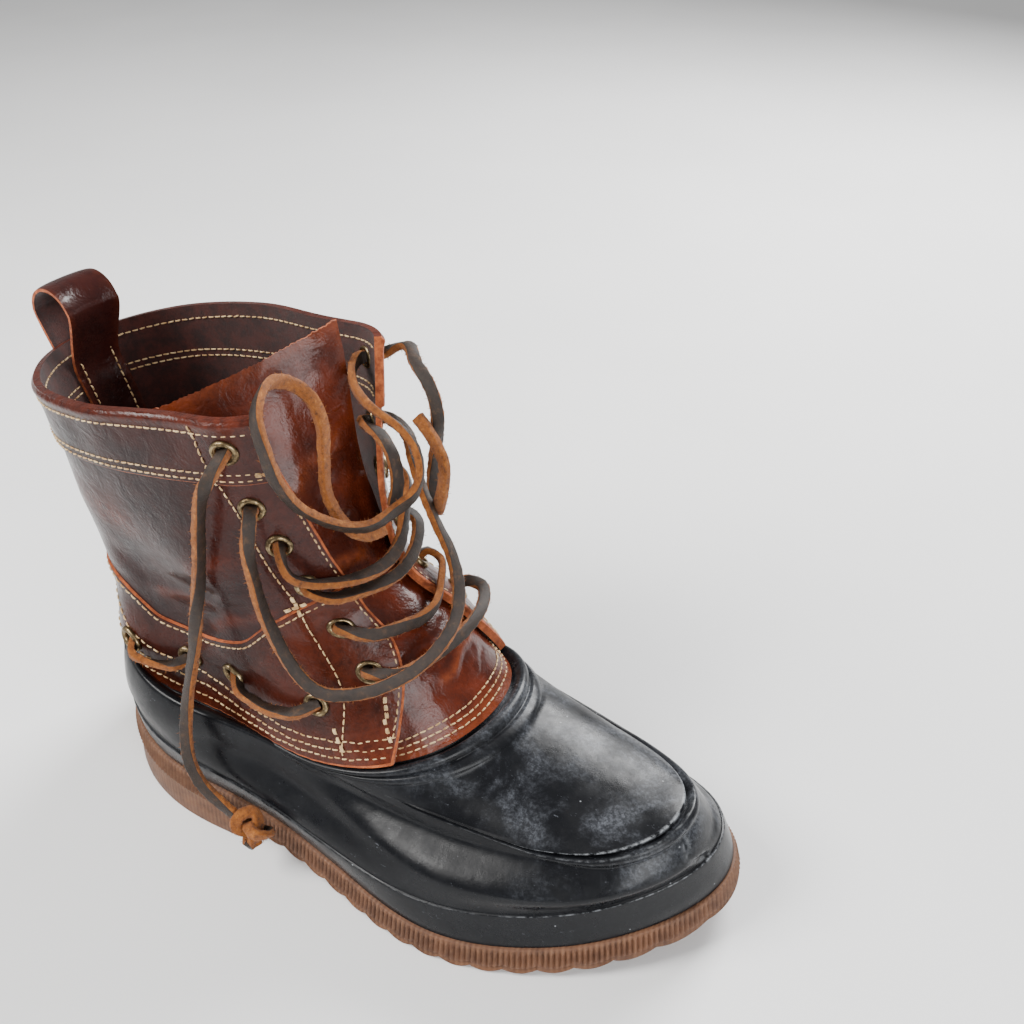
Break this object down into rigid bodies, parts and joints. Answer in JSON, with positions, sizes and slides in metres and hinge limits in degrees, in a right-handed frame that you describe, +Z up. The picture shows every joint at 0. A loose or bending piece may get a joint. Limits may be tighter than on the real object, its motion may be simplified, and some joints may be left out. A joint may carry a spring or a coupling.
{
  "type": "duck boot",
  "caption": "Lace-up boot for the right foot with a moulded rubber bottom, a leather shaft, a pull loop and a rawhide lace",
  "frame": {"origin": "on the floor, at the centre of the heel's ground face", "axes": "+X from heel to toe, +Y to the wearer's left, which is the medial side of this right boot, +Z up"},
  "size_m": [0.3258, 0.1348, 0.2207],
  "materials": {
    "gum_sole": "matte moulded gum rubber, brown",
    "shell_rubber": "satin moulded rubber, near black, with grey bloom and scuffs",
    "oxblood_leather": "waxed pull-up leather, dark oxblood, semi-gloss",
    "chestnut_leather": "waxed pull-up leather, red chestnut, semi-gloss",
    "insole_felt": "brown felt over board",
    "antique_brass": "antique brass, dulled",
    "rawhide": "rawhide thong, orange tan rough edges and dark smooth face"
  },
  "bodies": {
    "root": {"cord_end": "rawhide", "cord_high": "rawhide", "cord_inner": "rawhide", "cord_knot": "rawhide", "cord_low": "rawhide", "cord_side": "rawhide", "insole": "insole_felt", "lace_bar_3": "rawhide", "lace_bar_4": "rawhide", "lace_bar_5": "rawhide", "lace_bar_6": "rawhide", "lace_eyelet_lateral_1": "antique_brass", "lace_eyelet_lateral_2": "antique_brass", "lace_eyelet_lateral_3": "antique_brass", "lace_eyelet_lateral_4": "antique_brass", "lace_eyelet_lateral_5": "antique_brass", "lace_eyelet_lateral_6": "antique_brass", "lace_eyelet_medial_1": "antique_brass", "lace_eyelet_medial_2": "antique_brass", "lace_eyelet_medial_3": "antique_brass", "lace_eyelet_medial_4": "antique_brass", "lace_eyelet_medial_5": "antique_brass", "lace_eyelet_medial_6": "antique_brass", "outsole": "gum_sole", "pull_loop": "oxblood_leather", "quarters": "oxblood_leather", "shell": "shell_rubber", "side_eyelet_lateral_1": "antique_brass", "side_eyelet_lateral_2": "antique_brass", "side_eyelet_lateral_3": "antique_brass", "side_eyelet_lateral_4": "antique_brass", "side_eyelet_medial_1": "antique_brass", "side_eyelet_medial_2": "antique_brass", "side_eyelet_medial_3": "antique_brass", "side_eyelet_medial_4": "antique_brass", "side_lace_lateral_a": "rawhide", "side_lace_lateral_b": "rawhide", "side_lace_medial_a": "rawhide", "side_lace_medial_b": "rawhide", "vamp_tongue": "chestnut_leather"}
  },
  "joints": []
}
